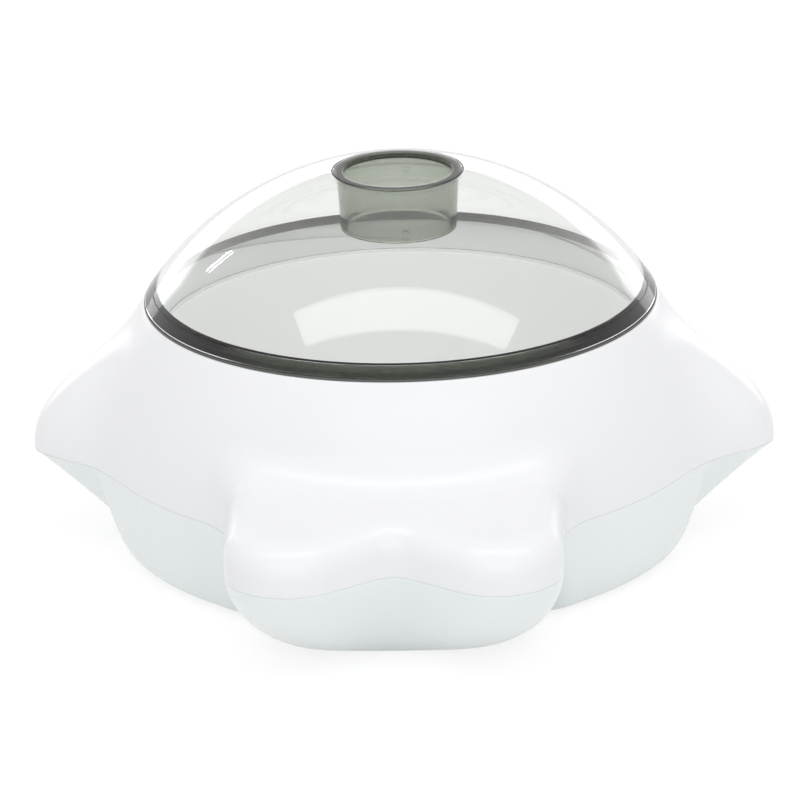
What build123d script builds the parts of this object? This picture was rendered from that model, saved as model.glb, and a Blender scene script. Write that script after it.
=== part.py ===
from build123d import *
import math
import os

# Pet food dispenser: a low round housing in two moulded halves, with a two-knobbed
# lobe at the front and at the rear and a blunt wing at each side. A clear dome closes
# it, with a smoked ring round its foot and a smoked drop tube through its crown. The
# lid turns in sloping grooves to come off.
# Millimetres, +Z up, front towards -Y, origin on the floor under the dome's centre.

# housing, seen from above
body_radius = 100.5        # round part at the parting line
lobe_half_width = 54.8     # straight sides of the front and rear lobes
knob_radius = 21.1         # each of the two knobs that end a lobe
knob_reach = 124.8         # knob centre, from the axis
valley_reach = 128.5       # deepest point of the dip between two knobs
valley_radius = 9.2
wing_reach = 25.5          # how far a wing stands out past the round part
wing_half_angle = 9.7      # degrees off the wing's centre line where half of that is left

# housing, seen from the side
foot_proud = 0.6           # rubber feet, below the underside
parting_height = 32.6      # parting line above the floor
rim_rise = 51.6            # top edge above the parting line
rim_radius = 86.9          # outside of the top edge
lobe_rise = 17.2           # top of a lobe above the parting line, over its knob centres
lobe_slope = 5.0           # degrees by which that top climbs towards the round wall
lobe_edge_radius = 11.0    # rounded edge round that top
lobe_blend_radius = 12.0   # hollow where a lobe runs into the round wall
wing_rise = 51.0           # height at which a wing has faded into the round wall
wall = 2.5

# underside
base_radius = 90.0         # flat under the round part
base_lobe_reach = 22.0     # how much further the flat goes under a lobe
base_lobe_angle = 22.0     # degrees off the lobe's centre line where half of that is left
round_fullness = 2.8       # powers of the superellipse that each lower wall follows
lobe_fullness = 1.42
wing_fullness = 1.1
fullness_reach = 8.0       # how far past the round part the power has changed over

# neck of the housing
neck_radius = 84.9         # inside
neck_thickness = 2.0
neck_depth = 15.0
ledge_width = 3.2
ledge_thickness = 2.4

# dome and its ring
dome_radius = 104.3        # outside of the sphere that both follow
dome_drop = 5.7            # sphere's centre below the parting line
dome_thickness = 2.6
ring_gap = 0.9             # under the ring's edge, where the seal lies
ring_height = 3.8          # height of the ring above that edge
ring_edge_radius = 0.7
ring_inset = 1.5           # how far the ring sits into the dome's foot, from the skirt's outside
ring_clearance = 0.05
skirt_clearance = 1.8      # between the skirt and the neck
skirt_thickness = 2.3
skirt_depth = 10.0

# drop tube
lip_radius = 22.0          # outside of its lip
lip_thickness = 1.3
lip_proud = 0.15           # over the dome beside it
lip_edge_radius = 0.5
lip_clearance = 0.1
tube_radius = 20.3         # outside of the tube
tube_taper = 0.8           # how much narrower that is at the bottom
tube_bore_radius = 18.3
tube_draft = 0.9           # how much narrower the bore is at the bottom
tube_depth = 20.5
tube_clearance = 0.05

# turn lock
peg_count = 4
peg_angle = 0.0            # first peg, degrees from +X
peg_radius = 1.5
peg_reach = 2.35           # how far a peg stands out of the skirt
peg_root = 1.0             # how far a peg goes into the skirt
peg_drop = 5.5             # peg's centre below the top edge of the housing
peg_clearance = 0.35
lid_turn = 60.0            # degrees from locked to free
lid_rise = 7.6             # climb over that turn

# seal and liner bowl
seal_thickness = 0.8
seal_clearance = 0.3
bowl_thickness = 2.0
bowl_draft = 3.0           # how much narrower the bowl is at its floor
bowl_clearance = 0.3
bowl_floor_gap = 1.5
bowl_corner_radius = 22.0

# feet and screws
foot_radius = 8.0
foot_thickness = 1.8
foot_clearance = 0.1
foot_edge_radius = 0.5
foot_spread = 47.0         # a foot's place, from the middle both ways
screw_radius = 1.5
screw_fit = 0.02
screw_clearance = 0.3
screw_head_radius = 2.8
screw_head_height = 1.9
screw_head_edge = 0.5
screw_grip = 5.0           # plastic over a screw's head, below the parting line
screw_depth = 8.0          # screw above the parting line
screw_tip_gap = 1.0
boss_radius = 4.6
lobe_screw_x = 36.0
lobe_screw_y = 99.0
wing_screw_x = 97.0

# how finely the housing's walls are drawn
quarter_steps = 10         # points from a wing's centre line to the front or rear
corner_step = 15.0         # degrees of the outline's bend from one point to the next
height_steps = 8           # sections from the parting line up, and down

rim_height = parting_height + rim_rise
ledge_bottom = rim_height - neck_depth
ledge_top = ledge_bottom + ledge_thickness
under_depth = parting_height - foot_proud
dome_centre = parting_height - dome_drop
dome_bore = dome_radius - dome_thickness
ring_bottom = rim_height + ring_gap
ring_top = ring_bottom + ring_height
skirt_radius = neck_radius - skirt_clearance
skirt_bore = skirt_radius - skirt_thickness
skirt_bottom = rim_height - skirt_depth
peg_height = rim_height - peg_drop
well_top = parting_height - screw_grip
bowl_radius = neck_radius - ledge_width - bowl_clearance
bowl_foot = bowl_radius - bowl_draft
bowl_bottom = foot_proud + wall + bowl_floor_gap
bowl_top = ledge_top + bowl_thickness

foot_places = [(x * foot_spread, y * foot_spread) for x in (-1, 1) for y in (-1, 1)]
screw_places = [(x * lobe_screw_x, y * lobe_screw_y) for x in (-1, 1) for y in (-1, 1)]
screw_places += [(-wing_screw_x, 0), (wing_screw_x, 0)]

# The round wall's upright section is an arc that is vertical at the parting line.
arc_centre = (body_radius**2 - rim_radius**2 - rim_rise**2) / (2 * (body_radius - rim_radius))
arc_radius = body_radius - arc_centre


def round_wall(rise):
    """Outside radius of the round part, at a height above the parting line."""
    return arc_centre + math.sqrt(arc_radius**2 - rise**2)


def bell(angle, half_angle, power):
    """1 at 0 degrees, 0.5 at the half angle, then fading to 0."""
    return 1 / (1 + abs(angle / half_angle)**power)


def wing(turn):
    """How far a wing stands out at the parting line, by degrees from the front."""
    return wing_reach * bell(abs(turn) - 90, wing_half_angle, 3)


def wing_fade(rise):
    """Share of the wing that is left at a height above the parting line."""
    return max(0, 1 - (rise / wing_rise)**2.4)**2.9


def wing_turns():
    """Directions of a section's points, in degrees from the front, closest at the wings."""
    offsets = [90 * (step / quarter_steps)**1.5 for step in range(quarter_steps + 1)]
    right = {90 - offset for offset in offsets} | {90 + offset for offset in offsets}
    return sorted(right | {-turn for turn in right if 0 < turn < 180})


def section(polar):
    """Smooth closed face through points given by degrees from the front and radius."""
    turned = [(math.radians(turn), radius) for turn, radius in polar]
    with BuildSketch() as face:
        with BuildLine():
            Spline([(r * math.sin(a), -r * math.cos(a)) for a, r in turned], periodic=True)
        make_face()
    return face.sketch


def lobe_plan(inset):
    """Plan of the front lobe, drawn in by inset, from inside the round part to its knobs."""
    side = lobe_half_width - inset
    knob = knob_radius - inset
    valley = valley_radius + inset
    knob_x = lobe_half_width - knob_radius
    valley_y = -valley_reach - valley_radius
    span = math.hypot(knob_x, valley_y + knob_reach)
    slope = math.asin((knob + valley) / span) + math.atan2(valley_y + knob_reach, knob_x)
    knob_end = (knob_x - knob * math.sin(slope), -knob_reach - knob * math.cos(slope))
    valley_end = (valley * math.sin(slope), valley_y + valley * math.cos(slope))
    valley_mid = (valley * math.sin(slope / 2), valley_y + valley * math.cos(slope / 2))
    inner = -body_radius / 2
    with BuildSketch() as plan:
        with BuildLine():
            Line((0, inner), (side, inner))
            Line((side, inner), (side, -knob_reach))
            ThreePointArc((side, -knob_reach), (knob_x, -knob_reach - knob), knob_end)
            Line(knob_end, valley_end)
            ThreePointArc(valley_end, valley_mid, (0, valley_y + valley))
            Line((0, valley_y + valley), (0, inner))
        make_face()
        mirror(about=Plane.YZ)
    return plan.sketch


def lobe_block(inset):
    """Upper half of the front lobe, with its sloping top and rounded edge."""
    top = Plane((0, -knob_reach, parting_height + lobe_rise)).rotated((lobe_slope, 0, 0)).offset(-inset)
    with BuildPart() as block:
        with BuildSketch(Plane.XY.offset(parting_height)):
            add(lobe_plan(inset))
        extrude(amount=2 * lobe_rise)
        split(bisect_by=top, keep=Keep.BOTTOM)
        edges = block.faces().sort_by(Axis.Z)[-1].edges()
        outer_edges = edges.filter_by(lambda edge: edge.center().Y < -body_radius / 2 - 1)
        fillet(outer_edges, lobe_edge_radius - inset)
    return block.part


def meets_round_wall(edge, inset):
    """Whether an edge is where a lobe's side or top runs into the round wall."""
    middle = edge.center()
    rise = middle.Z - parting_height
    if abs(middle.Y) < lobe_half_width or not 0.01 < rise < lobe_rise + lobe_edge_radius:
        return False
    return abs(math.hypot(middle.X, middle.Y) - round_wall(rise) + inset) < 1


def upper_form(inset):
    """Solid above the parting line: the round wall with its wings, and the two lobes."""
    with BuildPart() as form:
        for step in range(height_steps + 1):
            rise = rim_rise * step / height_steps
            radius = round_wall(rise) - inset
            with BuildSketch(Plane.XY.offset(parting_height + rise)):
                add(section([(turn, radius + wing(turn) * wing_fade(rise)) for turn in wing_turns()]))
        loft()
        add(lobe_block(inset))
        mirror(lobe_block(inset), about=Plane.XZ)
        fillet(form.edges().filter_by(lambda edge: meets_round_wall(edge, inset)), lobe_blend_radius + inset)
    return form.part


def parting_outline(inset):
    """Outline of the housing at the parting line without its wings, as polar points."""
    with BuildSketch() as plan:
        Circle(body_radius - inset)
        add(lobe_plan(inset))
        mirror(lobe_plan(inset), about=Plane.XZ)
        necks = plan.vertices().filter_by(
            lambda point: abs(math.hypot(point.X, point.Y) - body_radius + inset) < 0.01
            and abs(abs(point.X) - lobe_half_width + inset) < 0.01
        )
        fillet(necks, lobe_blend_radius + inset)
    marks = [(vertex.X, vertex.Y) for vertex in plan.vertices()]
    for edge in plan.edges():
        curved = edge.geom_type == GeomType.CIRCLE
        if curved and edge.radius > body_radius / 2:
            continue
        bend = math.degrees(edge.length / edge.radius) if curved else 2 * corner_step
        count = math.ceil(bend / corner_step)
        marks += [(point.X, point.Y) for point in (edge @ (step / count) for step in range(1, count))]
    outline = {round(math.degrees(math.atan2(x, -y)), 3): math.hypot(x, y) for x, y in marks}
    neck = max(turn for turn in outline if turn < 90 - corner_step)
    for turn in wing_turns():
        if neck < abs(turn) < 180 - neck:
            outline[round(turn, 3)] = body_radius - inset
    return sorted(outline.items())


def changed_over(reach):
    """0 up to 1 as reach grows from 0 to fullness_reach, without a kink."""
    share = min(max(reach / fullness_reach, 0), 1)
    return share * share * (3 - 2 * share)


def lower_form(inset):
    """Solid below the parting line, whose walls curve in from the outline to the base."""
    depth = under_depth - inset
    outline = parting_outline(inset)
    with BuildPart() as form:
        for step in range(height_steps + 1):
            level = math.sin(math.pi / 2 * step / height_steps)
            polar = []
            for turn, radius in outline:
                off_lobe = min(abs(turn), 180 - abs(turn))
                base = base_radius + base_lobe_reach * bell(off_lobe, base_lobe_angle, 6) - inset
                power = round_fullness
                power += (lobe_fullness - round_fullness) * changed_over(radius + inset - body_radius)
                power += (wing_fullness - round_fullness) * changed_over(wing(turn))
                share = max(0, 1 - level**power)**(1 / power)
                polar.append((turn, base + (radius + wing(turn) - base) * share))
            with BuildSketch(Plane.XY.offset(parting_height - depth * level)):
                add(section(polar))
        loft()
    return form.part


def bowl_form(inset):
    """Solid bowl up to its top edge, drawn in by inset."""
    foot = (bowl_foot - inset, bowl_bottom + inset)
    with BuildPart() as form:
        with BuildSketch(Plane.XZ) as profile:
            with BuildLine():
                Polyline((0, foot[1]), foot, (bowl_radius - inset, bowl_top), (0, bowl_top), close=True)
            make_face()
            fillet(profile.vertices().sort_by_distance(foot)[0], bowl_corner_radius - inset)
        revolve(axis=Axis.Z)
    return form.part


def on_sphere(radius, reach):
    """Point of a sphere's section at a distance from the axis."""
    return (reach, dome_centre + math.sqrt(radius**2 - reach**2))


def reach_at(radius, height):
    """Distance from the axis at which a sphere's section has a height."""
    return math.sqrt(radius**2 - (height - dome_centre)**2)


def sphere_arc(radius, start, end):
    """Arc of a sphere's section from one of its points to another."""
    return ThreePointArc(start, on_sphere(radius, (start[0] + end[0]) / 2), end)


# grooves in the neck, which the lid's pegs climb
lead_in = math.degrees((peg_radius + peg_clearance) / neck_radius)
groove_turn = lead_in + lid_turn
groove_rise = lid_rise * groove_turn / lid_turn
groove_start = peg_height + lid_rise - groove_rise

with BuildPart() as groove:
    with BuildLine() as groove_path:
        Helix(
            pitch=groove_rise * 360 / groove_turn,
            height=groove_rise,
            radius=neck_radius,
            center=(0, 0, groove_start),
        )
    with BuildSketch(Plane(groove_path.line @ 0, x_dir=(1, 0, 0), z_dir=groove_path.line % 0)):
        Rectangle(2 * (peg_reach + peg_clearance - skirt_clearance), 2 * (peg_radius + peg_clearance))
    sweep(is_frenet=True)

# upper half of the housing
with BuildPart() as upper_cavity:
    add(upper_form(wall))
    with BuildSketch(Plane.XY.offset(ledge_bottom)):
        Circle(neck_radius + neck_thickness)
    extrude(amount=neck_depth, mode=Mode.SUBTRACT)
    with BuildSketch(Plane.XY.offset(parting_height)):
        with Locations(*screw_places):
            Circle(boss_radius)
    extrude(amount=rim_rise, mode=Mode.SUBTRACT)

with BuildPart() as upper_shell:
    add(upper_form(0))
    add(upper_cavity.part, mode=Mode.SUBTRACT)
    with BuildSketch(Plane.XY.offset(ledge_top)):
        Circle(neck_radius)
    extrude(amount=rim_height - ledge_top, mode=Mode.SUBTRACT)
    with BuildSketch(Plane.XY.offset(ledge_bottom)):
        Circle(neck_radius - ledge_width)
    extrude(amount=ledge_thickness, mode=Mode.SUBTRACT)
    with BuildSketch(Plane.XY.offset(parting_height)):
        with Locations(*screw_places):
            Circle(screw_radius + screw_fit)
    extrude(amount=screw_depth + screw_tip_gap, mode=Mode.SUBTRACT)
    with PolarLocations(0, peg_count, start_angle=peg_angle - lead_in):
        add(groove.part, mode=Mode.SUBTRACT)

# lower half of the housing
with BuildPart() as lower_cavity:
    add(lower_form(wall))
    with BuildSketch(Plane.XY.offset(foot_proud)):
        with Locations(*screw_places):
            Circle(boss_radius)
    extrude(amount=under_depth, mode=Mode.SUBTRACT)

with BuildPart() as lower_shell:
    add(lower_form(0))
    add(lower_cavity.part, mode=Mode.SUBTRACT)
    with BuildSketch():
        with Locations(*screw_places):
            Circle(screw_head_radius + screw_clearance)
    extrude(amount=well_top, mode=Mode.SUBTRACT)
    with BuildSketch(Plane.XY.offset(well_top)):
        with Locations(*screw_places):
            Circle(screw_radius + screw_clearance)
    extrude(amount=screw_grip, mode=Mode.SUBTRACT)
    with BuildSketch():
        with Locations(*foot_places):
            Circle(foot_radius + foot_clearance)
    extrude(amount=foot_thickness, mode=Mode.SUBTRACT)

# screws that hold the halves together, up through the lower one
with BuildPart() as shell_screws:
    with BuildSketch(Plane.XY.offset(well_top - screw_head_height)):
        with Locations(*screw_places):
            Circle(screw_head_radius)
    extrude(amount=screw_head_height)
    chamfer(shell_screws.faces().sort_by(Axis.Z)[:len(screw_places)].edges(), screw_head_edge)
    with BuildSketch(Plane.XY.offset(well_top)):
        with Locations(*screw_places):
            Circle(screw_radius)
    extrude(amount=screw_grip + screw_depth)

# liner bowl, which hangs on the ledge
with BuildPart() as food_bowl:
    add(bowl_form(0))
    with BuildSketch(Plane.XY.offset(ledge_top)):
        Circle(neck_radius - bowl_clearance)
    extrude(amount=bowl_thickness)
    add(bowl_form(bowl_thickness), mode=Mode.SUBTRACT)

# smoked ring, moulded into a groove round the dome's foot
groove_reach = skirt_radius - ring_inset
ring_edge = (reach_at(dome_radius, ring_bottom), ring_bottom)
ring_outer = (reach_at(dome_radius, ring_top), ring_top)

with BuildPart() as lid_ring:
    with BuildSketch(Plane.XZ) as ring_profile:
        with BuildLine():
            sphere_arc(dome_radius, ring_edge, ring_outer)
            Polyline(
                ring_outer,
                (groove_reach + ring_clearance, ring_top),
                (groove_reach + ring_clearance, ring_bottom),
                ring_edge,
            )
        make_face()
        fillet(ring_profile.vertices().sort_by_distance(ring_edge)[0], ring_edge_radius)
    revolve(axis=Axis.Z)

# clear dome with its skirt and pegs, and a seat for the tube's lip
lip_top = on_sphere(dome_radius, lip_radius)[1] + lip_proud
lip_seat = lip_top - lip_thickness
seat_radius = lip_radius + lip_clearance
hole_radius = tube_radius + tube_clearance
skirt_top = on_sphere(dome_bore, skirt_bore)

with BuildPart() as dome:
    with BuildSketch(Plane.XZ):
        with BuildLine():
            sphere_arc(dome_radius, ring_outer, on_sphere(dome_radius, seat_radius))
            Polyline(
                on_sphere(dome_radius, seat_radius),
                (seat_radius, lip_seat),
                (hole_radius, lip_seat),
                on_sphere(dome_bore, hole_radius),
            )
            sphere_arc(dome_bore, on_sphere(dome_bore, hole_radius), skirt_top)
            Polyline(
                skirt_top,
                (skirt_bore, skirt_bottom),
                (skirt_radius, skirt_bottom),
                (skirt_radius, ring_bottom),
                (groove_reach, ring_bottom),
                (groove_reach, ring_top),
                ring_outer,
            )
        make_face()
    revolve(axis=Axis.Z)
    with Locations((0, 0, peg_height)):
        with PolarLocations(skirt_radius - peg_root, peg_count, start_angle=peg_angle):
            Cylinder(
                peg_radius,
                peg_root + peg_reach,
                rotation=(0, 90, 0),
                align=(Align.CENTER, Align.CENTER, Align.MIN),
            )

# smoked drop tube, open at both ends
with BuildPart() as drop_tube:
    with BuildSketch(Plane.XZ) as tube_profile:
        with BuildLine():
            Polyline(
                (tube_bore_radius, lip_top),
                (lip_radius, lip_top),
                (lip_radius, lip_seat),
                (tube_radius, lip_seat),
                (tube_radius - tube_taper, lip_top - tube_depth),
                (tube_bore_radius - tube_draft, lip_top - tube_depth),
                close=True,
            )
        make_face()
        for corner in ((tube_bore_radius, lip_top), (lip_radius, lip_top)):
            fillet(tube_profile.vertices().sort_by_distance(corner)[0], lip_edge_radius)
    revolve(axis=Axis.Z)

# soft ring between the smoked ring and the housing's top edge
with BuildPart() as lid_seal:
    with BuildSketch(Plane.XY.offset(rim_height + (ring_gap - seal_thickness) / 2)):
        Circle(rim_radius - seal_clearance)
        Circle(neck_radius, mode=Mode.SUBTRACT)
    extrude(amount=seal_thickness)

pieces = {
    "upper_shell": upper_shell,
    "lower_shell": lower_shell,
    "shell_screws": shell_screws,
    "food_bowl": food_bowl,
    "dome": dome,
    "lid_ring": lid_ring,
    "drop_tube": drop_tube,
    "lid_seal": lid_seal,
}

# rubber feet, set into the underside
foot_names = ("foot_front_left", "foot_rear_left", "foot_front_right", "foot_rear_right")
for name, place in zip(foot_names, foot_places):
    with BuildPart() as foot:
        with BuildSketch():
            with Locations(place):
                Circle(foot_radius)
        extrude(amount=foot_thickness)
        fillet(foot.faces().sort_by(Axis.Z)[0].edges(), foot_edge_radius)
    pieces[name] = foot

os.makedirs("parts", exist_ok=True)
for name, piece in pieces.items():
    piece.part.label = name
    export_step(piece.part, f"parts/{name}.step")
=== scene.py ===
import math
import bpy
import numpy as np
from mathutils import Matrix, Quaternion, Vector


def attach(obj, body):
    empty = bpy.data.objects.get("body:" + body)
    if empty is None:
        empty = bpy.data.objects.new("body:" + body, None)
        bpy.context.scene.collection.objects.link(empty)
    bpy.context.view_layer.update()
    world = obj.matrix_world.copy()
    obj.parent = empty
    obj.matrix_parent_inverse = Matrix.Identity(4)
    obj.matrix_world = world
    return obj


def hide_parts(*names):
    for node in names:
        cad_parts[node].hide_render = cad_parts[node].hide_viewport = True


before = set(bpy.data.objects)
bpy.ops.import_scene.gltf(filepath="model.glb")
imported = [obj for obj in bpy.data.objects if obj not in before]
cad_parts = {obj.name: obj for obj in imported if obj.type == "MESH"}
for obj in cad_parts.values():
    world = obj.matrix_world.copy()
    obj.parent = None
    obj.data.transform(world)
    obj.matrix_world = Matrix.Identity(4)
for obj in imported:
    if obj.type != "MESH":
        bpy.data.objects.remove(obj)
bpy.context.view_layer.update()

mm = 0.001  # every size below is in millimetres
print("frame loaded:", len(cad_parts), "nodes")

meshing = {
    "sharpFrom": 34,         # degrees: edges that fold more than this are shaded sharp
    "straightHalf": 1.56,    # radians: a profile's corner with a wider half angle stays as it is
    "spunColumns": 288,
    "tubeColumns": 192,
}


def gridFaces(grid, poles):
    # Quads between neighbouring columns and rows. The columns close round. The rows close too,
    # or end in a triangle fan on each of two pole points.
    columns, rows = grid.shape[:2]
    here = np.arange(columns * rows).reshape(columns, rows)
    beside = np.roll(here, -1, axis=0)
    if poles is None:
        quads = np.stack([here, beside, np.roll(beside, -1, 1), np.roll(here, -1, 1)], -1)
        return grid.reshape(-1, 3), quads.reshape(-1, 4), np.zeros((0, 3), int)
    quads = np.stack([here[:, :-1], beside[:, :-1], beside[:, 1:], here[:, 1:]], -1)
    first, last = columns * rows, columns * rows + 1
    fans = np.concatenate([
        np.stack([np.full(columns, first), beside[:, 0], here[:, 0]], -1),
        np.stack([np.full(columns, last), here[:, -1], beside[:, -1]], -1),
    ])
    return np.concatenate([grid.reshape(-1, 3), poles]), quads.reshape(-1, 4), fans


def skin(name, grid, poles=None):
    # Closed mesh over a grid. Its volume is the sum of p0 . (p1 x p2) / 6 over its triangles,
    # and where that is negative the faces are turned to point outwards.
    points, quads, fans = gridFaces(grid, poles)
    corners = np.concatenate([quads[:, [0, 1, 2]], quads[:, [0, 2, 3]], fans])
    p0, p1, p2 = (points[corners[:, k]] for k in range(3))
    if (p0 * np.cross(p1, p2)).sum() < 0:
        quads, fans = quads[:, ::-1], fans[:, ::-1]
    mesh = bpy.data.meshes.new(name)
    mesh.from_pydata((points * mm).tolist(), [], quads.tolist() + fans.tolist())
    mesh.shade_smooth()
    mesh.set_sharp_from_angle(angle=math.radians(meshing["sharpFrom"]))
    piece = bpy.data.objects.new(name, mesh)
    bpy.context.scene.collection.objects.link(piece)
    return piece


def rounded(corners, steps=5):
    # Profile through corners of (reach, height, rounding). A rounding becomes an arc that is
    # tangent to both sides: its centre lies on the corner's half angle at rounding / sin(half).
    corners = np.array(corners, float)
    spots = corners[:, :2]
    back = np.roll(spots, 1, 0) - spots
    ahead = np.roll(spots, -1, 0) - spots
    back /= np.linalg.norm(back, axis=1, keepdims=True)
    ahead /= np.linalg.norm(ahead, axis=1, keepdims=True)
    profile = []
    for spot, before, after, radius in zip(spots, back, ahead, corners[:, 2]):
        half = math.acos(np.clip(before @ after, -1, 1)) / 2
        if radius == 0 or half > meshing["straightHalf"]:
            profile.append(spot[None])
            continue
        middle = (before + after) / np.linalg.norm(before + after)
        centre = spot + middle * radius / math.sin(half)
        start = spot + before * radius / math.tan(half) - centre
        end = spot + after * radius / math.tan(half) - centre
        sweep = math.pi - 2 * half
        share = np.linspace(0, 1, steps)[:, None]
        turn = (np.sin((1 - share) * sweep) * start + np.sin(share * sweep) * end) / math.sin(sweep)
        profile.append(centre + turn)
    return np.concatenate(profile)


def spun(profile, columns=meshing["spunColumns"]):
    # Grid of a profile turned round the axis: (reach sin a, -reach cos a, height).
    angles = np.arange(columns) * 2 * math.pi / columns
    reach, height = profile[:, 0], profile[:, 1]
    x = np.sin(angles)[:, None] * reach
    y = -np.cos(angles)[:, None] * reach
    return np.stack([x, y, np.broadcast_to(height, x.shape)], -1)


def dress(piece, material):
    piece.data.materials.clear()
    piece.data.materials.append(material)


def asPiece(piece, body, material, node):
    dress(piece, material)
    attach(piece, body)
    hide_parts(node)
    print(piece.name, len(piece.data.polygons), "faces")


def carve(piece, tools, operation):
    # Exact boolean of a piece with closed tool meshes that don't touch, put back into the piece.
    tool = tools[0]
    with bpy.context.temp_override(active_object=tool, selected_editable_objects=tools):
        bpy.ops.object.join()
    change = piece.modifiers.new("carve", "BOOLEAN")
    change.object = tool
    change.operation = operation
    change.solver = "EXACT"
    graph = bpy.context.evaluated_depsgraph_get()
    piece.data = bpy.data.meshes.new_from_object(piece.evaluated_get(graph))
    piece.data.set_sharp_from_angle(angle=math.radians(meshing["sharpFrom"]))
    piece.modifiers.clear()
    bpy.data.objects.remove(tool)


def newMaterial(name):
    material = bpy.data.materials.new(name)
    material.use_nodes = True
    tree = material.node_tree
    return material, tree, tree.nodes["Principled BSDF"], tree.nodes["Material Output"]


def addNode(tree, kind, links=(), **values):
    # A node with its plain settings, and its inputs linked or set by name or number.
    node = tree.nodes.new("ShaderNode" + kind)
    for key, value in values.items():
        setattr(node, key, value)
    for key, source in dict(links).items():
        if isinstance(source, bpy.types.NodeSocket):
            tree.links.new(source, node.inputs[key])
        else:
            node.inputs[key].default_value = source
    return node


def twoTones(tree, factor, dark, light):
    ramp = addNode(tree, "ValToRGB", {0: factor})
    ramp.color_ramp.elements[0].color = (*dark, 1)
    ramp.color_ramp.elements[1].color = (*light, 1)
    return ramp.outputs[0]


moulding = {   # shared by every moulded piece
    "cloudScale": 14, "cloudDetail": 3,
    "wipeScale": 55, "wipeDetail": 4, "wipeRoughness": 0.6,
    "wipeDepth": 0.08,       # how much the gloss varies
    "grainDetail": 2, "grainHeight": 0.0004,
}


def mouldedGroup():
    # Moulded plastic: broad cloudy shade, a trace of uneven gloss, and a fine grain in the normal.
    group = bpy.data.node_groups.new("mouldedPlastic", "ShaderNodeTree")
    for label, kind, value in (
            ("Color", "Color", (1, 1, 1, 1)), ("Shade", "Float", 0.02), ("Gloss", "Float", 0.25),
            ("Grain Scale", "Float", 900), ("Grain", "Float", 0.03)):
        socket = group.interface.new_socket(label, in_out="INPUT", socket_type="NodeSocket" + kind)
        socket.default_value = value
    for label, kind in (("Color", "Color"), ("Roughness", "Float"), ("Normal", "Vector")):
        group.interface.new_socket(label, in_out="OUTPUT", socket_type="NodeSocket" + kind)
    inside, out = group.nodes.new("NodeGroupInput"), group.nodes.new("NodeGroupOutput")
    place = addNode(group, "TexCoord").outputs["Object"]
    cloud = addNode(group, "TexNoise", {
        "Vector": place, "Scale": moulding["cloudScale"], "Detail": moulding["cloudDetail"]}).outputs[0]
    shade = addNode(group, "Math", {0: cloud, 1: 0.5}, operation="SUBTRACT").outputs[0]
    depth = addNode(group, "Math", {0: shade, 1: inside.outputs["Shade"], 2: 1}, operation="MULTIPLY_ADD")
    tinted = addNode(group, "VectorMath", {0: inside.outputs["Color"], 1: depth.outputs[0]}, operation="MULTIPLY")
    wipe = addNode(group, "TexNoise", {
        "Vector": place, "Scale": moulding["wipeScale"], "Detail": moulding["wipeDetail"],
        "Roughness": moulding["wipeRoughness"]}).outputs[0]
    uneven = addNode(
        group, "Math", {0: wipe, 1: moulding["wipeDepth"], 2: -moulding["wipeDepth"] / 2}, operation="MULTIPLY_ADD")
    gloss = addNode(group, "Math", {0: inside.outputs["Gloss"], 1: uneven.outputs[0]}, operation="ADD")
    grain = addNode(group, "TexNoise", {
        "Vector": place, "Scale": inside.outputs["Grain Scale"], "Detail": moulding["grainDetail"]})
    bump = addNode(group, "Bump", {
        "Height": grain.outputs[0], "Strength": inside.outputs["Grain"], "Distance": moulding["grainHeight"]})
    group.links.new(tinted.outputs[0], out.inputs["Color"])
    group.links.new(gloss.outputs[0], out.inputs["Roughness"])
    group.links.new(bump.outputs[0], out.inputs["Normal"])
    return group


moulded = mouldedGroup()


def addMoulded(tree, values):
    node = addNode(tree, "Group", node_tree=moulded)
    for key, value in values.items():
        node.inputs[key].default_value = value
    return node


def mouldedMaterial(name, color, gloss, shade=0.02, grainScale=900, grain=0.03, sheen=0.5):
    material, tree, shader, _ = newMaterial(name)
    node = addMoulded(tree, {
        "Color": (*color, 1), "Shade": shade, "Gloss": gloss, "Grain Scale": grainScale, "Grain": grain})
    tree.links.new(node.outputs["Color"], shader.inputs["Base Color"])
    tree.links.new(node.outputs["Roughness"], shader.inputs["Roughness"])
    tree.links.new(node.outputs["Normal"], shader.inputs["Normal"])
    shader.inputs["Specular IOR Level"].default_value = sheen
    return material


def clearMaterial(name, color, gloss, lampColor, absorbed, density, shade=0.03, grainScale=60, grain=0.01):
    # Clear plastic, darker the further light goes through it. Lamps and diffuse light pass
    # straight through by way of Transparent.
    material, tree, shader, out = newMaterial(name)
    node = addMoulded(tree, {
        "Color": (*color, 1), "Shade": shade, "Gloss": gloss, "Grain Scale": grainScale, "Grain": grain})
    tree.links.new(node.outputs["Color"], shader.inputs["Base Color"])
    tree.links.new(node.outputs["Normal"], shader.inputs["Normal"])
    shader.inputs["Roughness"].default_value = gloss
    shader.inputs["Transmission Weight"].default_value = 1
    shader.inputs["IOR"].default_value = 1.5
    through = addNode(tree, "BsdfTransparent", {"Color": (*lampColor, 1)})
    ray = addNode(tree, "LightPath")
    lampRay = addNode(
        tree, "Math", {0: ray.outputs["Is Shadow Ray"], 1: ray.outputs["Is Diffuse Ray"]}, operation="MAXIMUM")
    mix = addNode(tree, "MixShader", {0: lampRay.outputs[0], 1: shader.outputs[0], 2: through.outputs[0]})
    tree.links.new(mix.outputs[0], out.inputs["Surface"])
    absorption = addNode(tree, "VolumeAbsorption", {"Color": (*absorbed, 1), "Density": density})
    tree.links.new(absorption.outputs[0], out.inputs["Volume"])
    return material


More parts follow.
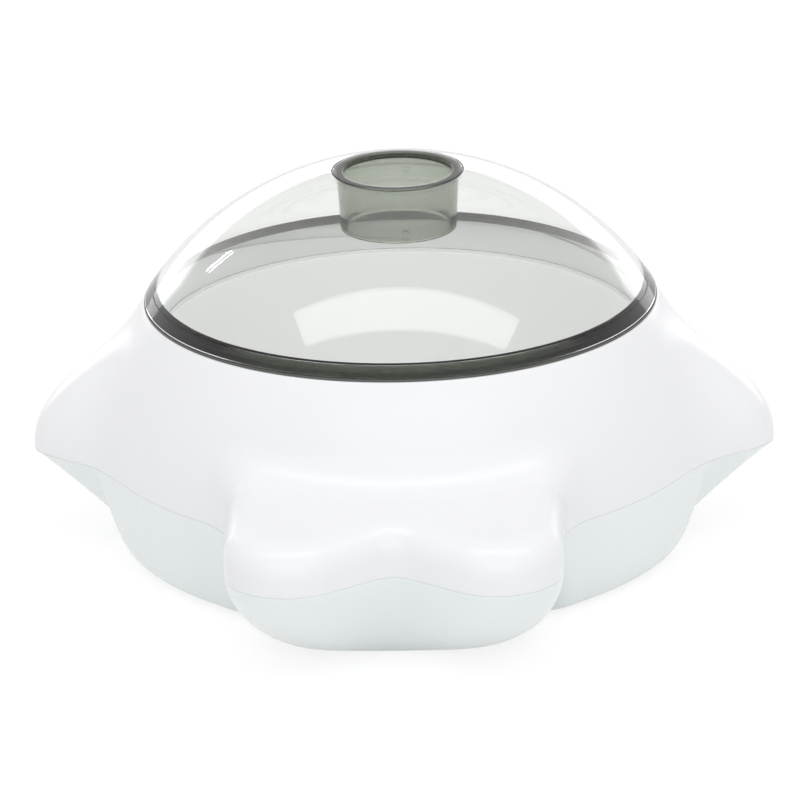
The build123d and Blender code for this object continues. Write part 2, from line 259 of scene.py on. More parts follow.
finish = {
    "upperShell": {"color": (0.895, 0.90, 0.915), "gloss": 0.24, "sheen": 0.38},
    "lowerShell": {"color": (0.855, 0.90, 0.90), "gloss": 0.26},
    "bowl": {"color": (0.955, 0.96, 0.95), "gloss": 0.30},
    "seal": {"color": (0.10, 0.105, 0.10), "gloss": 0.62, "grain": 0.25},
    "foot": {"color": (0.35, 0.36, 0.35), "gloss": 0.75, "grain": 0.4},
    "dome": {"color": (0.945, 0.954, 0.94), "gloss": 0.0, "lampColor": (1, 1, 1),
             "absorbed": (0.2, 0.32, 0.15), "density": 1.5},
    "smoked": {"color": (0.97, 0.97, 0.97), "gloss": 0.02, "lampColor": (0.96, 0.96, 0.96),
               "absorbed": (0.11, 0.19, 0.02), "density": 345},
    "ring": {"color": (0.97, 0.97, 0.97), "gloss": 0.08, "lampColor": (0.9, 0.9, 0.9),
             "absorbed": (0.12, 0.17, 0.07), "density": 850},
    "screw": {"dark": (0.42, 0.42, 0.43), "light": (0.66, 0.66, 0.65), "wearScale": 700, "wearDetail": 4,
              "gloss": 0.2, "glossDepth": 0.3},
}
upperPlastic = mouldedMaterial("upperShellPlastic", **finish["upperShell"])
lowerPlastic = mouldedMaterial("lowerShellPlastic", **finish["lowerShell"])
bowlPlastic = mouldedMaterial("bowlPlastic", **finish["bowl"])
sealRubber = mouldedMaterial("sealRubber", **finish["seal"])
footRubber = mouldedMaterial("footRubber", **finish["foot"])
clearPlastic = clearMaterial("clearPlastic", **finish["dome"])
smokedPlastic = clearMaterial("smokedPlastic", **finish["smoked"])
ringPlastic = clearMaterial("ringPlastic", **finish["ring"])

steel = finish["screw"]
screwSteel, steelTree, steelShader, _ = newMaterial("screwSteel")
steelWear = addNode(steelTree, "TexNoise", {
    "Vector": addNode(steelTree, "TexCoord").outputs["Object"],
    "Scale": steel["wearScale"], "Detail": steel["wearDetail"]}).outputs[0]
steelGloss = addNode(
    steelTree, "Math", {0: steelWear, 1: steel["glossDepth"], 2: steel["gloss"]}, operation="MULTIPLY_ADD")
steelTree.links.new(
    twoTones(steelTree, steelWear, steel["dark"], steel["light"]), steelShader.inputs["Base Color"])
steelTree.links.new(steelGloss.outputs[0], steelShader.inputs["Roughness"])
steelShader.inputs["Metallic"].default_value = 1
print("finishes ready")

# Heights called rise, and the housing's own grids, are measured from the parting line.
housing = {
    "partingHeight": 32.6,   # parting line above the floor
    "footProud": 0.6,
    "bodyRadius": 100.5,
    "rimRise": 51.6,
    "rimRadius": 86.9,
    "lobeHalfWidth": 54.8,
    "knobRadius": 21.1,
    "knobReach": 124.8,
    "valleyReach": 128.5,
    "valleyRadius": 9.2,
    "lobeRise": 17.2,
    "lobeSlope": 5.0,        # degrees
    "lobeEdgeRadius": 11.0,
    "lobeEdgePower": 2.5,
    "lobeBlendRadius": 10.5,
    "wingReach": 25.48,
    "wingHalfAngle": 9.7,    # degrees
    "wingSidePower": 3,
    "wingRise": 51.0,
    "wingFadePower": 2.4,
    "wingFadeEase": 2.9,
    "wall": 2.5,
    "baseRadius": 90.0,
    "baseLobeReach": 22.0,
    "baseLobeAngle": 22.0,   # degrees
    "baseLobePower": 6,
    "roundFullness": 2.8,    # powers of the lower wall's superellipse
    "lobeFullness": 1.42,
    "wingFullness": 0.97,
    "fullnessReach": 8.0,
    "partingEdge": 0.35,     # rounding of both halves' edges at the parting line
    "rimEdge": 0.7,
    "neckRadius": 84.9,
    "neckThickness": 2.0,
    "neckEdge": 0.4,
    "ledgeRise": 39.0,
    "ledgeThickness": 2.4,
    "ledgeWidth": 3.2,
    "ledgeEdge": 0.4,
    "ledgeHollow": 0.3,
    "plainRise": 49.5,       # above this the wall is round all the way
    "hiddenRise": 46.0,      # the neck's outside meets the wall's inside here
    "columns": 640,
    "outerRows": 62,
    "innerRows": 30,
    "boreRows": 10,
    "undersideRows": 9,
    "floorRows": 7,
    "trialRows": 4,          # trial points for each row, before rows are spaced evenly
    "lowerTrialRows": 6,
}
search = {                   # halving in on a surface, along rays from the axis and up from a spot
    "nearest": 30.0, "furthest": 200.0, "raySteps": 40,
    "highest": 60.0, "heightSteps": 30,
}
lowerDepth = housing["partingHeight"] - housing["footProud"]
roundCentre = (
    housing["bodyRadius"]**2 - housing["rimRadius"]**2 - housing["rimRise"]**2
) / (2 * (housing["bodyRadius"] - housing["rimRadius"]))
roundArc = housing["bodyRadius"] - roundCentre


def wingStand(offWing):
    # How far a wing stands out at an angle from its middle: wingReach / (1 + (a / halfAngle)^3).
    return housing["wingReach"] / (1 + (offWing / housing["wingHalfAngle"])**housing["wingSidePower"])


def roundDistance(x, y, z):
    # Distance from the round wall, an arc about roundCentre in each upright plane, pushed out
    # by the wing's stand times (1 - (z / wingRise)^2.4)^2.9.
    offWing = np.degrees(np.arctan2(np.abs(y), np.abs(x)))
    share = (np.abs(z) / housing["wingRise"])**housing["wingFadePower"]
    fade = np.maximum(0, 1 - share)**housing["wingFadeEase"]
    return np.hypot(np.hypot(x, y) - wingStand(offWing) * fade - roundCentre, z) - roundArc


def lobeDistance(x, y):
    # Distance from a lobe's plan: two knob circles, the straight lines that leave them towards
    # the dip, the dip's circle, and the straight sides.
    x, y = np.abs(x), np.abs(y)
    knob, valley = housing["knobRadius"], housing["valleyRadius"]
    knobX, knobY = housing["lobeHalfWidth"] - knob, housing["knobReach"]
    valleyY = housing["valleyReach"] + valley
    span = math.hypot(knobX, valleyY - knobY)
    slope = math.asin((knob + valley) / span) - math.atan2(valleyY - knobY, knobX)
    outX, outY = -math.sin(slope), math.cos(slope)
    along = -(x - knobX) * outY + (y - knobY) * outX
    lineEnd = knobX * outY + (valleyY - knobY) * outX
    line = (x - knobX) * outX + (y - knobY) * outY - knob
    front = np.where(along < 0, np.hypot(x - knobX, y - knobY) - knob, line)
    front = np.where(along > lineEnd, valley - np.hypot(x, y - valleyY), front)
    side = x - housing["lobeHalfWidth"]
    return np.where((y < knobY) & (x > knobX), side, np.maximum(side, front))


def roundUnion(a, b, radius):
    # Two forms in one, with a hollow of this radius between them.
    return np.maximum(radius, np.minimum(a, b)) - np.hypot(
        np.maximum(radius - a, 0), np.maximum(radius - b, 0))


def roundOverlap(a, b, radius, power):
    # Overlap of two forms whose edge is a superellipse, tightest in the middle of its turn.
    a, b = np.maximum(a + radius, 0), np.maximum(b + radius, 0)
    return (a**power + b**power)**(1 / power)


def housingDistance(x, y, z):
    # Round wall and lobes in one: the lobe's plan cut by its sloping top with a rounded edge,
    # then run into the round wall with a hollow of lobeBlendRadius.
    slope = math.radians(housing["lobeSlope"])
    topHeight = housing["lobeRise"] + math.tan(slope) * (housing["knobReach"] - np.abs(y))
    top = (z - topHeight) * math.cos(slope)
    side = lobeDistance(x, y)
    edge = housing["lobeEdgeRadius"]
    lobe = np.minimum(np.maximum(side, top), -edge) + roundOverlap(side, top, edge, housing["lobeEdgePower"])
    return roundUnion(roundDistance(x, y, z), lobe, housing["lobeBlendRadius"])


def alongRays(angles, lifts, inset):
    # Points where rays from the axis at the parting line leave the housing drawn in by inset.
    # The distance along each ray is halved in on. Angles are from the front.
    dx, dy, dz = np.cos(lifts) * np.sin(angles), -np.cos(lifts) * np.cos(angles), np.sin(lifts)
    near, far = np.full(dx.shape, search["nearest"]), np.full(dx.shape, search["furthest"])
    for _ in range(search["raySteps"]):
        middle = (near + far) / 2
        outside = housingDistance(dx * middle, dy * middle, dz * middle) + inset > 0
        far = np.where(outside, middle, far)
        near = np.where(outside, near, middle)
    return np.stack([dx * far, dy * far, dz * far], -1)


def evenly(curves, values, count):
    # For each column of curves, the values at count points evenly spaced along its length.
    steps = np.linalg.norm(np.diff(curves, axis=1), axis=-1)
    lengths = np.concatenate([np.zeros((len(curves), 1)), np.cumsum(steps, 1)], 1)
    lengths /= lengths[:, -1:]
    shares = np.linspace(0, 1, count)
    return np.stack([np.interp(shares, length, value) for length, value in zip(lengths, values)])


def outlineAngles(count):
    # Directions of columns that are evenly spaced along the outline at the parting line.
    angles = np.linspace(0, 2 * math.pi, housing["trialRows"] * count + 1)
    outline = alongRays(angles, np.zeros_like(angles), 0)
    return evenly(outline[None], angles[None], count + 1)[0, :-1]


def plainNormals(ring):
    # Outward level normals of a closed ring of points, from its neighbours either side.
    along = np.roll(ring, -1, 0) - np.roll(ring, 1, 0)
    normals = np.stack([-along[:, 1], along[:, 0], np.zeros(len(ring))], -1)
    normals /= np.linalg.norm(normals, axis=1, keepdims=True)
    return normals * np.sign((normals * ring).sum(1, keepdims=True))


def partingRounding(ring, side):
    # Quarter round between a wall and the parting plane, above it (side 1) or below (side -1).
    edge = housing["partingEdge"]
    turns = np.radians([90, 60, 30])
    drawn = ring[:, None] - plainNormals(ring)[:, None] * edge * (1 - np.cos(turns))[None, :, None]
    drawn[..., 2] = side * edge * (1 - np.sin(turns))
    return drawn


columnAngles = outlineAngles(housing["columns"])
ringAtParting = alongRays(columnAngles, np.zeros_like(columnAngles), 0)
innerAtParting = alongRays(columnAngles, np.zeros_like(columnAngles), housing["wall"])


def wallRows(lowLift, highLift, inset, count):
    # Rays between two lifts, spaced evenly along each column of the wall.
    lifts = np.linspace(lowLift, highLift, housing["trialRows"] * count)
    angles = np.broadcast_to(columnAngles[:, None], (len(columnAngles), len(lifts)))
    spread = np.broadcast_to(lifts, angles.shape)
    even = evenly(alongRays(angles, spread, inset), spread, count)
    return alongRays(columnAngles[:, None] + np.zeros_like(even), even, inset)


def roundReach(rise, inset=0):
    # Reach of the round wall, drawn in by inset, at a height.
    return roundCentre + np.sqrt((roundArc - inset)**2 - rise**2)


def turnedTo(profile):
    # A round profile carried to every column's direction.
    x = np.sin(columnAngles)[:, None] * profile[:, 0]
    y = -np.cos(columnAngles)[:, None] * profile[:, 0]
    return np.stack([x, y, np.broadcast_to(profile[:, 1], x.shape)], -1)


def upperShellGrid():
    # Each column goes up the outside, over the rim, down the neck, round the ledge that the bowl
    # stands on, up behind the neck, and down the inside.
    plain, hidden = housing["plainRise"], housing["hiddenRise"]
    lowLift = math.atan2(housing["partingEdge"], housing["bodyRadius"])
    outer = wallRows(lowLift, math.atan2(plain, roundReach(plain)), 0, housing["outerRows"])
    innerLift = math.atan2(hidden, roundReach(hidden, housing["wall"]))
    inner = wallRows(0, innerLift, housing["wall"], housing["innerRows"])
    neck, back = housing["neckRadius"], housing["neckRadius"] + housing["neckThickness"]
    ledge, under = housing["ledgeRise"], housing["ledgeRise"] - housing["ledgeThickness"]
    tip, rim = neck - housing["ledgeWidth"], housing["rimRise"]
    boreRises = np.linspace(rim - 1.5, ledge + 1, housing["boreRows"])  # clear of both roundings
    corners = [
        (roundReach(plain), plain, 0),
        (housing["rimRadius"], rim, housing["rimEdge"]),
        (neck, rim, housing["neckEdge"]),
        *[(neck, rise, 0) for rise in boreRises],
        (neck, ledge, housing["ledgeHollow"]),
        (tip, ledge, housing["ledgeEdge"]),
        (tip, under, housing["ledgeEdge"]),
        (back, under, housing["ledgeHollow"]),
        (back, hidden - 0.5, 0),
    ]
    rimRows = turnedTo(rounded(corners)[1:])
    floor = innerAtParting[:, None]
    return np.concatenate([partingRounding(ringAtParting, 1), outer, rimRows, inner[:, ::-1], floor], 1)


def changedOver(reach):
    # Smooth step from 0 to 1 over fullnessReach: s^2 (3 - 2 s).
    share = np.clip(reach / housing["fullnessReach"], 0, 1)
    return share * share * (3 - 2 * share)


def lowerValues(angles, reach):
    # Base reach and superellipse power of the lower wall in each direction. The base stands out
    # under a lobe by baseLobeReach / (1 + (a / baseLobeAngle)^6).
    offFront = np.degrees(np.abs(np.arctan2(np.sin(angles), np.abs(np.cos(angles)))))
    wing = wingStand(90 - offFront)
    base = housing["baseRadius"] + housing["baseLobeReach"] / (
        1 + (offFront / housing["baseLobeAngle"])**housing["baseLobePower"])
    power = housing["roundFullness"] + (
        (housing["lobeFullness"] - housing["roundFullness"]) * changedOver(reach - wing - housing["bodyRadius"])
        + (housing["wingFullness"] - housing["roundFullness"]) * changedOver(wing))
    return base, power


def lowerWall(angles, reach, levels, inset):
    # Superellipse in each upright plane: reach = base + (outline - base) (1 - level^n)^(1/n),
    # depth = level times the depth of the underside.
    base, power = lowerValues(angles, reach + inset)
    base = base - inset
    out = base + (reach - base) * np.maximum(0, 1 - levels**power)**(1 / power)
    return np.stack([np.sin(angles) * out, -np.cos(angles) * out, -(lowerDepth - inset) * levels + 0 * out], -1)


def lowerRows(ring, lowLevel, inset, count):
    # Rows of the lower wall, spaced evenly along each column.
    angles = columnAngles[:, None]
    reach = np.hypot(ring[:, 0], ring[:, 1])[:, None]
    share = np.linspace(2 / math.pi * math.asin(lowLevel), 1, housing["lowerTrialRows"] * count)[None]
    curves = lowerWall(angles, reach, np.sin(math.pi / 2 * share), inset)
    even = evenly(curves, np.broadcast_to(share, curves.shape[:2]), count)
    return lowerWall(angles, reach, np.sin(math.pi / 2 * even), inset)


def levelRows(edgeRing, count):
    # Level rows from near the middle out to a wall's foot.
    shares = np.linspace(0, 1, count + 1)[1:-1]
    rows = edgeRing[:, None] * shares[None, :, None]
    rows[..., 2] = edgeRing[:, None, 2]
    return rows


def lowerShellGrid():
    # Each column goes out along the underside, up the outside, and down the inside to the middle.
    outer = lowerRows(ringAtParting, housing["partingEdge"] / lowerDepth, 0, housing["outerRows"])
    inner = lowerRows(innerAtParting, 0, housing["wall"], housing["innerRows"])
    rows = [
        levelRows(outer[:, -1], housing["undersideRows"]), outer[:, ::-1],
        partingRounding(ringAtParting, -1)[:, ::-1],
        inner, levelRows(inner[:, -1], housing["floorRows"])[:, ::-1],
    ]
    poles = np.array([[0, 0, -lowerDepth], [0, 0, -lowerDepth + housing["wall"]]])
    return np.concatenate(rows, 1), poles


screws = {
    "lobeX": 36.0, "lobeY": 99.0, "wingX": 97.0,
    "postRadius": 4.6, "wellRadius": 3.1, "holeRadius": 1.8, "boreRadius": 1.52,
    "wellTop": -5.0, "boreTop": 9.0,
    "postGap": 0.02,         # from each post's end to the parting line
    "overrun": 1,            # of a cut past the end of what it cuts
    "sides": 48, "holeSides": 24,
}
feet = {"spread": 47.0, "radius": 8.1, "recess": 1.8, "overrun": 2}
screwPlaces = [(x * screws["lobeX"], y * screws["lobeY"]) for x in (-1, 1) for y in (-1, 1)]
screwPlaces += [(-screws["wingX"], 0), (screws["wingX"], 0)]
footPlaces = [(x * feet["spread"], y * feet["spread"]) for x in (-1, 1) for y in (-1, 1)]


def uprights(places, radius, low, high, sides=screws["sides"]):
    # Closed upright cylinders whose ends may follow a surface: low and high give heights by x, y.
    turns = np.arange(sides) * 2 * math.pi / sides
    tools = []
    for place in places:
        x, y = place[0] + radius * np.cos(turns), place[1] + radius * np.sin(turns)
        rings = [np.stack([x, y, ends(x, y)], -1) for ends in (low, high)]
        middle = (np.array(place[0]), np.array(place[1]))
        poles = np.array([[*place, float(ends(*middle))] for ends in (low, high)])
        tools.append(skin("tool", np.stack(rings, 1), poles))
    return tools


def level(height):
    return lambda x, y: np.full(np.shape(x), float(height))


def upperSurface(inset):
    # Height of the upper shell over a spot, halved in on.
    def height(x, y):
        low, high = np.zeros(np.shape(x)), np.full(np.shape(x), search["highest"])
        for _ in range(search["heightSteps"]):
            middle = (low + high) / 2
            outside = housingDistance(x, y, middle) + inset > 0
            high = np.where(outside, middle, high)
            low = np.where(outside, low, middle)
        return low
    return height


def lowerSurface(inset):
    # Height of the lower shell under a spot, from the superellipse turned round.
    def height(x, y):
        angles, out = np.arctan2(x, -y), np.hypot(x, y)
        ring = alongRays(angles, np.zeros_like(angles), 0)
        reach = np.hypot(ring[..., 0], ring[..., 1])
        base, power = lowerValues(angles, reach)
        share = np.clip((out - base) / (reach - base), 0, 1)
        return -lowerDepth * np.maximum(0, 1 - share**power)**(1 / power) + inset
    return height


grooves = {
    "count": 4, "rise": 7.6, "pegRise": 46.1,
    "leadIn": 1.2484, "turn": 60.0,   # degrees
    "halfWidth": 0.9, "halfHeight": 1.85, "steps": 60,
}


def grooveTool(start):
    # Bar that climbs round the neck: at each step a small rectangle square to the path.
    turn = grooves["leadIn"] + grooves["turn"]
    rise = grooves["rise"] * turn / grooves["turn"]
    share = np.linspace(0, 1, grooves["steps"])[None]
    tilt = math.atan2(rise, housing["neckRadius"] * math.radians(turn))
    out = np.array([-1, 1, 1, -1])[:, None] * grooves["halfWidth"]
    up = np.array([-1, -1, 1, 1])[:, None] * grooves["halfHeight"]
    reach = housing["neckRadius"] + out + 0 * share
    angle = np.radians(start + turn * share) - up * math.sin(tilt) / housing["neckRadius"]
    height = grooves["pegRise"] + grooves["rise"] - rise + rise * share + up * math.cos(tilt)
    grid = np.stack([reach * np.cos(angle), reach * np.sin(angle), height], -1)
    return skin("tool", grid, grid[:, [0, -1]].mean(0))


def liftMesh(piece):
    # From the parting line's heights to heights above the floor.
    piece.data.transform(Matrix.Translation((0, 0, housing["partingHeight"] * mm)))


wall, gap, overrun = housing["wall"], screws["postGap"], screws["overrun"]
quarters = [90 * number for number in range(grooves["count"])]
upperShell = skin("upperShell", upperShellGrid())
carve(upperShell, [grooveTool(angle - grooves["leadIn"]) for angle in quarters], "DIFFERENCE")
carve(upperShell, uprights(screwPlaces, screws["postRadius"], level(gap), upperSurface(wall / 2)), "UNION")
carve(upperShell, uprights(
    screwPlaces, screws["boreRadius"], level(-overrun), level(screws["boreTop"]), screws["holeSides"]), "DIFFERENCE")
liftMesh(upperShell)
asPiece(upperShell, "housing", upperPlastic, "upper_shell")

below = level(-lowerDepth - feet["overrun"])
footTop = level(-lowerDepth + feet["recess"] - housing["footProud"])
lowerShell = skin("lowerShell", *lowerShellGrid())
carve(lowerShell, uprights(screwPlaces, screws["postRadius"], lowerSurface(wall / 2), level(-gap)), "UNION")
carve(lowerShell, [
    *uprights(screwPlaces, screws["wellRadius"], below, level(screws["wellTop"])),
    *uprights(footPlaces, feet["radius"], below, footTop),
], "DIFFERENCE")
carve(lowerShell, uprights(
    screwPlaces, screws["holeRadius"], level(screws["wellTop"] - overrun), level(overrun), screws["holeSides"]),
    "DIFFERENCE")
liftMesh(lowerShell)
asPiece(lowerShell, "housing", lowerPlastic, "lower_shell")

bowl = {
    "floor": 4.6, "top": 73.6, "ledgeTop": 71.6, "thickness": 2.0, "rimRadius": 84.6,
    "footReach": 78.4, "topReach": 81.4, "corner": 22.0, "rimEdge": 0.6, "underEdge": 0.3, "arcSteps": 13,
    "floorRows": (4, 50),    # reach of the first and last floor row
    "wallRows": (0.42, 0.97),   # the same for the wall, as shares of its height
}


def bowlProfile():
    # Out along the floor, up the inside, over the rim and down the outside.
    wall, low = bowl["thickness"], bowl["floor"]
    inFoot, inTop = np.array([bowl["footReach"] - wall, low + wall]), np.array([bowl["topReach"] - wall, bowl["top"]])
    middle, edge = bowl["floorRows"]
    floorIn = [(reach, low + wall, 0) for reach in np.linspace(middle, edge, 12)]
    floorOut = [(reach, low, 0) for reach in np.linspace(edge, middle, 8)]
    wallIn = [(*(inFoot * (1 - s) + inTop * s), 0) for s in np.linspace(*bowl["wallRows"], 18)]
    corners = rounded([
        *floorIn, (*inFoot, bowl["corner"] - wall), *wallIn, (*inTop, bowl["rimEdge"]),
        (bowl["rimRadius"], bowl["top"], bowl["rimEdge"]), (bowl["rimRadius"], bowl["ledgeTop"], bowl["underEdge"]),
        (bowl["topReach"], bowl["ledgeTop"], bowl["underEdge"]), (bowl["footReach"], low, bowl["corner"]), *floorOut,
    ], bowl["arcSteps"])
    return corners, np.array([[0, 0, low + wall], [0, 0, low]])


bowlRows, bowlPoles = bowlProfile()
asPiece(skin("foodBowl", spun(bowlRows), bowlPoles), "housing", bowlPlastic, "food_bowl")

lid = {
    "centre": 26.9,          # of the sphere
    "radius": 104.3,
    "thickness": 2.6,
    "ringBottom": 85.1,
    "ringTop": 88.9,
    "ringEdge": 0.35,
    "ringInnerEdge": 0.2,
    "ringInset": 1.5,        # how far the ring sits into the dome's foot
    "ringClearance": 0.05,
    "skirtRadius": 83.1, "skirtBore": 80.8, "skirtBottom": 74.2, "skirtEdge": 0.15, "skirtHollow": 0.5,
    "skirtRows": 10,
    "pegHeight": 78.7, "pegRadius": 1.5, "pegReach": 2.35, "pegSides": 32,
    "seam": 0.04,            # air between the bonded pieces
    "fineEdge": 0.1, "holeEdge": 0.2,
    "lipRadius": 22.0, "lipThickness": 1.3, "lipProud": 0.15, "lipEdge": 0.5, "lipClearance": 0.1,
    "tubeRadius": 20.3, "tubeTaper": 0.8, "boreRadius": 18.3, "boreDraft": 0.9, "tubeDepth": 20.5,
    "tubeClearance": 0.05, "tubeHollow": 0.15, "tubeEdge": 0.4, "tubeRows": 12,
    "domeRows": (84, 80), "ringRows": 12, "arcSteps": 7, "tubeArcSteps": 6,
}


def sphereHeight(radius, reach):
    return lid["centre"] + np.sqrt(radius**2 - reach**2)


def sphereReach(radius, height):
    return math.sqrt(radius**2 - (height - lid["centre"])**2)


def spherePoints(radius, start, end, count):
    # Points of the sphere's section, evenly spaced in angle.
    angles = np.linspace(math.asin(start / radius), math.asin(end / radius), count)
    return [(radius * math.sin(a), lid["centre"] + radius * math.cos(a), 0) for a in angles]


grooveReach = lid["skirtRadius"] - lid["ringInset"]
lipTop = float(sphereHeight(lid["radius"], lid["lipRadius"])) + lid["lipProud"]
lipSeat = lipTop - lid["lipThickness"]


def domeProfile():
    # Up the outside to the tube's seat, down the inside and the skirt, and up the skirt's outside
    # into the ring's groove.
    seat, hole = lid["lipRadius"] + lid["lipClearance"], lid["tubeRadius"] + lid["tubeClearance"]
    low, foot = lid["ringBottom"] - lid["seam"], lid["ringTop"] + lid["seam"]
    bore, radius, bottom = lid["skirtBore"], lid["skirtRadius"], lid["skirtBottom"]
    outer = spherePoints(lid["radius"], sphereReach(lid["radius"], foot), seat, lid["domeRows"][0])
    inner = spherePoints(lid["radius"] - lid["thickness"], hole, bore, lid["domeRows"][1])
    skirtIn = [(bore, h, 0) for h in np.linspace(inner[-1][1] - 1.5, bottom + 1, lid["skirtRows"])]
    skirtOut = [(radius, h, 0) for h in np.linspace(bottom + 1, low - 1, lid["skirtRows"])]
    fine = lid["fineEdge"]
    return rounded([
        (*outer[0][:2], fine), *outer[1:-1], (*outer[-1][:2], lid["holeEdge"]),
        (seat, lipSeat - lid["seam"], fine), (hole, lipSeat - lid["seam"], fine),
        (*inner[0][:2], lid["holeEdge"]), *inner[1:-1], (*inner[-1][:2], lid["skirtHollow"]), *skirtIn,
        (bore, bottom, lid["skirtEdge"]), (radius, bottom, lid["skirtEdge"]),
        *skirtOut, (radius, low, fine), (grooveReach, low, fine), (grooveReach, foot, fine),
    ])


def ringProfile():
    # The sphere's section between the ring's two edges, closed by the ring's bore.
    bore, low = grooveReach + lid["ringClearance"], lid["ringBottom"]
    reaches = [sphereReach(lid["radius"], height) for height in (low, lid["ringTop"])]
    outer = spherePoints(lid["radius"], *reaches, lid["ringRows"])
    return rounded([
        (*outer[0][:2], lid["ringEdge"]), *outer[1:-1], (*outer[-1][:2], lid["fineEdge"]),
        (bore, lid["ringTop"], lid["fineEdge"]), (bore, low, lid["ringInnerEdge"]),
    ], lid["arcSteps"])


def tubeProfile():
    # Lip, outside with its taper, and bore with its draft.
    low, foot = lipTop - lid["tubeDepth"], lid["tubeRadius"] - lid["tubeTaper"]
    narrow = lid["boreRadius"] - lid["boreDraft"]
    outside = np.linspace((lid["tubeRadius"], lipSeat - 0.6), (foot, low + 1), lid["tubeRows"])
    inside = np.linspace((narrow, low + 1), (lid["boreRadius"], lipTop - 1), lid["tubeRows"])
    return rounded([
        (lid["boreRadius"], lipTop, lid["lipEdge"]), (lid["lipRadius"], lipTop, lid["lipEdge"]),
        (lid["lipRadius"], lipSeat, lid["fineEdge"]), (lid["tubeRadius"], lipSeat, lid["tubeHollow"]),
        *[(*spot, 0) for spot in outside],
        (foot, low, lid["tubeEdge"]), (narrow, low, lid["tubeEdge"]),
        *[(*spot, 0) for spot in inside],
    ], lid["tubeArcSteps"])


def pegTool(angle):
    # Short cylinder that points out from the skirt.
    sides = np.arange(lid["pegSides"]) * 2 * math.pi / lid["pegSides"]
    reach = np.array([lid["skirtRadius"] - 1, lid["skirtRadius"] + lid["pegReach"]])
    across = lid["pegRadius"] * np.cos(sides)[:, None] + 0 * reach
    height = lid["pegHeight"] + lid["pegRadius"] * np.sin(sides)[:, None] + 0 * reach
    out = reach + 0 * across
    c, s = math.cos(math.radians(angle)), math.sin(math.radians(angle))
    grid = np.stack([out * c - across * s, out * s + across * c, height], -1)
    return skin("tool", grid, grid.mean(0))


clearDome = skin("clearDome", spun(domeProfile()))
carve(clearDome, [pegTool(angle) for angle in quarters], "UNION")
asPiece(clearDome, "lid", clearPlastic, "dome")
asPiece(skin("smokedRing", spun(ringProfile())), "lid", ringPlastic, "lid_ring")
dropTube = skin("dropTube", spun(tubeProfile(), meshing["tubeColumns"]))
asPiece(dropTube, "lid", smokedPlastic, "drop_tube")

seal = {"low": 84.25, "high": 85.05, "inner": 84.9, "outer": 86.6, "edge": 0.3}
sealProfile = rounded([
    (seal["outer"], seal["low"], seal["edge"]), (seal["outer"], seal["high"], seal["edge"]),
    (seal["inner"], seal["high"], seal["edge"]), (seal["inner"], seal["low"], seal["edge"]),
])
asPiece(skin("lidSeal", spun(sealProfile)), "seal", sealRubber, "lid_seal")

for name in ("foot_front_left", "foot_rear_left", "foot_front_right", "foot_rear_right"):
    dress(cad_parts[name], footRubber)
dress(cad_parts["shell_screws"], screwSteel)
print("lid and small pieces ready")

studio = {
    "floorSize": 9.0,        # metres, as all sizes and places here
    "floorDark": 0.87, "floorLight": 0.89, "cloudScale": 3, "cloudDetail": 3,
    "floorRoughness": 0.9, "floorSheen": 0.1,
    "floorSeen": 0.74,       # share of plain white that the camera sees over the lit floor
    "floorWhite": 1.10,
    "ambient": 0.70,
    "lamps": {               # size, place, what it points at, roll in degrees, power
        "topSoftbox": ((2.02, 0.44), (0.09, -0.39, 1.40), (0.09, -0.39, 0), 0, 6.4),
        "frontSoftbox": ((2.6, 1.4), (0.2, -2.2, 0.82), (0, 0, 0.05), 0, 7.8),
        "backdrop": ((4.0, 0.76), (0, 2.3, 0.38), (0, 0, 0.38), 0, 11.5),
        "backStrip": ((0.04, 0.30), (-1.65, 1.74, 1.22), (0, 0, 0.05), 28.7, 0.8),
    },
}


def seenDirectly(tree):
    # 1 for what the camera sees, straight, in a reflection or through clear plastic, otherwise 0.
    ray = addNode(tree, "LightPath")
    viewed = addNode(
        tree, "Math", {0: ray.outputs["Is Camera Ray"], 1: ray.outputs["Is Glossy Ray"]}, operation="MAXIMUM")
    return addNode(
        tree, "Math", {0: viewed.outputs[0], 1: ray.outputs["Is Transmission Ray"]}, operation="MAXIMUM").outputs[0]


half = studio["floorSize"] / 2
floorMesh = bpy.data.meshes.new("studioFloor")
floorMesh.from_pydata([(-half, -half, 0), (half, -half, 0), (half, half, 0), (-half, half, 0)], [], [(0, 1, 2, 3)])
floor = bpy.data.objects.new("studioFloor", floorMesh)
bpy.context.scene.collection.objects.link(floor)

floorPaint, floorTree, floorShader, floorOut = newMaterial("floorPaint")
floorCloud = addNode(floorTree, "TexNoise", {
    "Vector": addNode(floorTree, "TexCoord").outputs["Object"],
    "Scale": studio["cloudScale"], "Detail": studio["cloudDetail"]}).outputs[0]
floorTone = twoTones(floorTree, floorCloud, [studio["floorDark"]] * 3, [studio["floorLight"]] * 3)
floorTree.links.new(floorTone, floorShader.inputs["Base Color"])
floorShader.inputs["Roughness"].default_value = studio["floorRoughness"]
floorShader.inputs["Specular IOR Level"].default_value = studio["floorSheen"]
whiteShare = addNode(floorTree, "Math", {0: seenDirectly(floorTree), 1: studio["floorSeen"]}, operation="MULTIPLY")
plainWhite = addNode(floorTree, "Emission", {"Color": (1, 1, 1, 1), "Strength": studio["floorWhite"]})
floorMix = addNode(
    floorTree, "MixShader", {0: whiteShare.outputs[0], 1: floorShader.outputs[0], 2: plainWhite.outputs[0]})
floorTree.links.new(floorMix.outputs[0], floorOut.inputs["Surface"])
dress(floor, floorPaint)

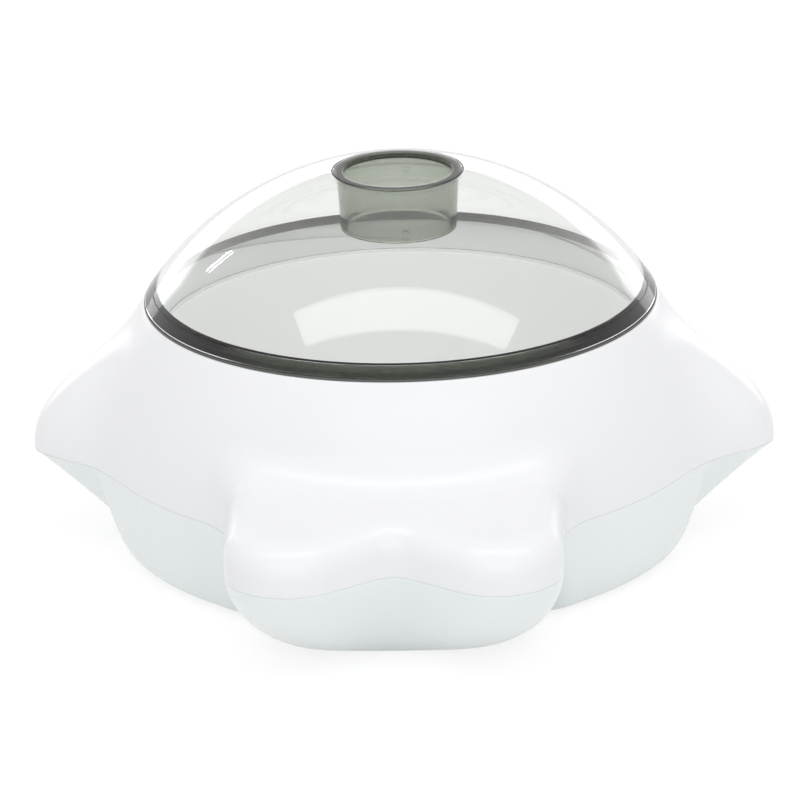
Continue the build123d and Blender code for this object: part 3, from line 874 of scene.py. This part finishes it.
world = bpy.data.worlds.new("studioWorld")
bpy.context.scene.world = world
world.use_nodes = True
sky = world.node_tree
strength = addNode(sky, "MapRange", {0: seenDirectly(sky), 3: studio["ambient"], 4: 1.0})
sky.nodes["Background"].inputs["Color"].default_value = (1, 1, 1, 1)
sky.links.new(strength.outputs[0], sky.nodes["Background"].inputs["Strength"])

for name, (size, place, target, roll, power) in studio["lamps"].items():
    lamp = bpy.data.lights.new(name, "AREA")
    lamp.shape = "RECTANGLE"
    lamp.size, lamp.size_y = size
    lamp.energy = power
    softbox = bpy.data.objects.new(name, lamp)
    softbox.location = place
    facing = (Vector(target) - Vector(place)).to_track_quat("-Z", "Y")
    softbox.rotation_euler = (facing @ Quaternion((0, 0, 1), math.radians(roll))).to_euler()
    bpy.context.scene.collection.objects.link(softbox)

# Worked out in pixels of an 800 pixel wide frame, from the parting line's height, and then scaled.
cameraFit = {
    "distance": 6187, "aimHeight": 41.0, "shift": 2.9, "width": 800, "pixel": 0.34,
    "elevation": 20.03, "roll": -1.34, "turn": -1.91,   # degrees
    "sensor": 36, "clipEnd": 50,
}
lift, roll, turn = (math.radians(cameraFit[key]) for key in ("elevation", "roll", "turn"))
distance = cameraFit["distance"]
away = Vector((0, -distance * math.cos(lift), cameraFit["aimHeight"] + distance * math.sin(lift)))
ahead = Vector((0, math.cos(lift), -math.sin(lift)))
right = Vector((1, 0, 0))
up = right.cross(ahead)
rolled = Matrix((
    math.cos(roll) * right + math.sin(roll) * up, -math.sin(roll) * right + math.cos(roll) * up, -ahead)).transposed()
turned = Matrix.Rotation(-turn, 3, "Z")
aim = Vector((0, 0, housing["partingHeight"] * mm))
camera = bpy.data.objects.new("camera", bpy.data.cameras.new("camera"))
camera.matrix_world = Matrix.Translation(
    turned @ away * cameraFit["pixel"] * mm + aim) @ (turned @ rolled).to_4x4()
camera.data.sensor_width = cameraFit["sensor"]
camera.data.lens = distance / cameraFit["width"] * cameraFit["sensor"]
camera.data.shift_x = -cameraFit["shift"] / cameraFit["width"]
camera.data.clip_end = cameraFit["clipEnd"]
bpy.context.scene.collection.objects.link(camera)
bpy.context.scene.camera = camera
bpy.context.scene.view_settings.view_transform = "Standard"
print("studio ready")
